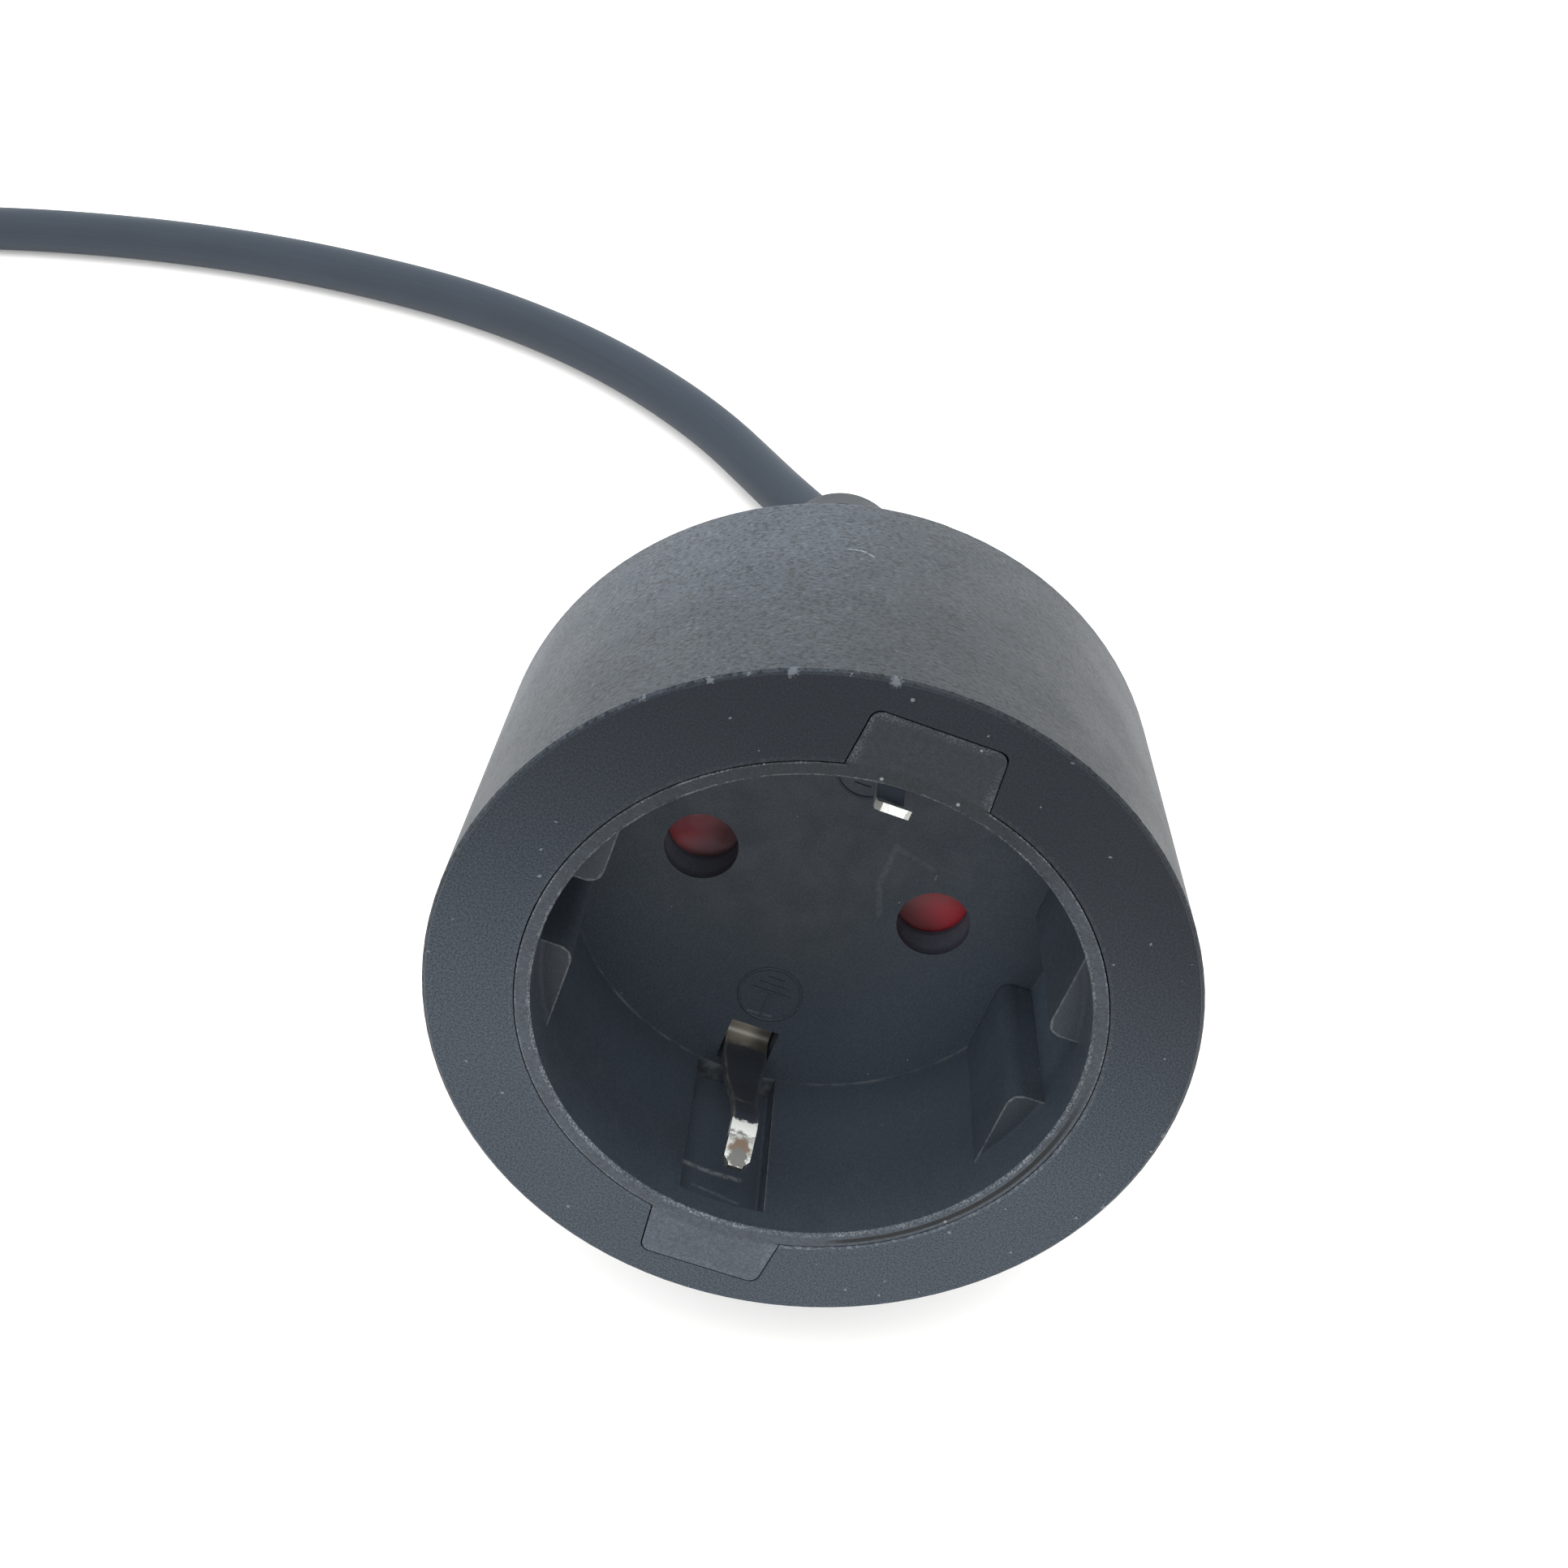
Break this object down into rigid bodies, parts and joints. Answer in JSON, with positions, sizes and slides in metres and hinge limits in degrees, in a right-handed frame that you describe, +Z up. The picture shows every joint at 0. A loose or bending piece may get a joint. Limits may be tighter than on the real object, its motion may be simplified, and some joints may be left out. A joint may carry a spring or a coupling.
{
  "type": "power adapter cable",
  "caption": "Round earthed socket coupler with side clips and shuttered pin holes on a short round mains lead, with an in-line appliance plug at its far end.",
  "frame": {"origin": "on the table, under the middle of the coupler's own box (the lead and its plug left out)", "axes": "+Z up, +Y from the socket's face towards its strain relief, +X to the right seen from the face"},
  "size_m": [0.2827, 0.1677, 0.06],
  "materials": {
    "overmould": "fine spark texture, soft PVC",
    "insert": "satin moulded",
    "shutter": "moulded red",
    "spring_steel": "drawn wire",
    "nickel": "nickel-plated sheet, worn",
    "contact_brass": "rolled sheet",
    "sheath": "satin",
    "core_brown": "satin",
    "core_blue": "satin",
    "core_green": "green with a yellow stripe, satin"
  },
  "bodies": {
    "coupler": {"coupler_housing": "overmould", "socket_insert": "insert", "contact_carrier": "insert", "shutter_spring": "spring_steel", "line_contact": "contact_brass", "neutral_contact": "contact_brass", "earth_contact": "nickel", "line_core": "core_brown", "neutral_core": "core_blue", "earth_core": "core_green", "cable_sheath": "sheath", "plug_housing": "overmould", "plug_insert": "insert", "plug_line_pin": "nickel", "plug_neutral_pin": "nickel", "plug_earth_pin": "nickel", "plug_line_core": "core_brown", "plug_neutral_core": "core_blue", "plug_earth_core": "core_green"},
    "shutter": {"shutter": "shutter"}
  },
  "joints": [
    {"name": "shutter_turn", "type": "hinge", "parent": "coupler", "child": "shutter", "pos_m": [0, -0.01675, 0.02743], "axis": [0, 0.9436, -0.331], "range_deg": [0, 40], "stiffness_Nm_per_rad": 0.01, "springref_deg": -17.19, "deforming": ["shutter_spring"]}
  ]
}
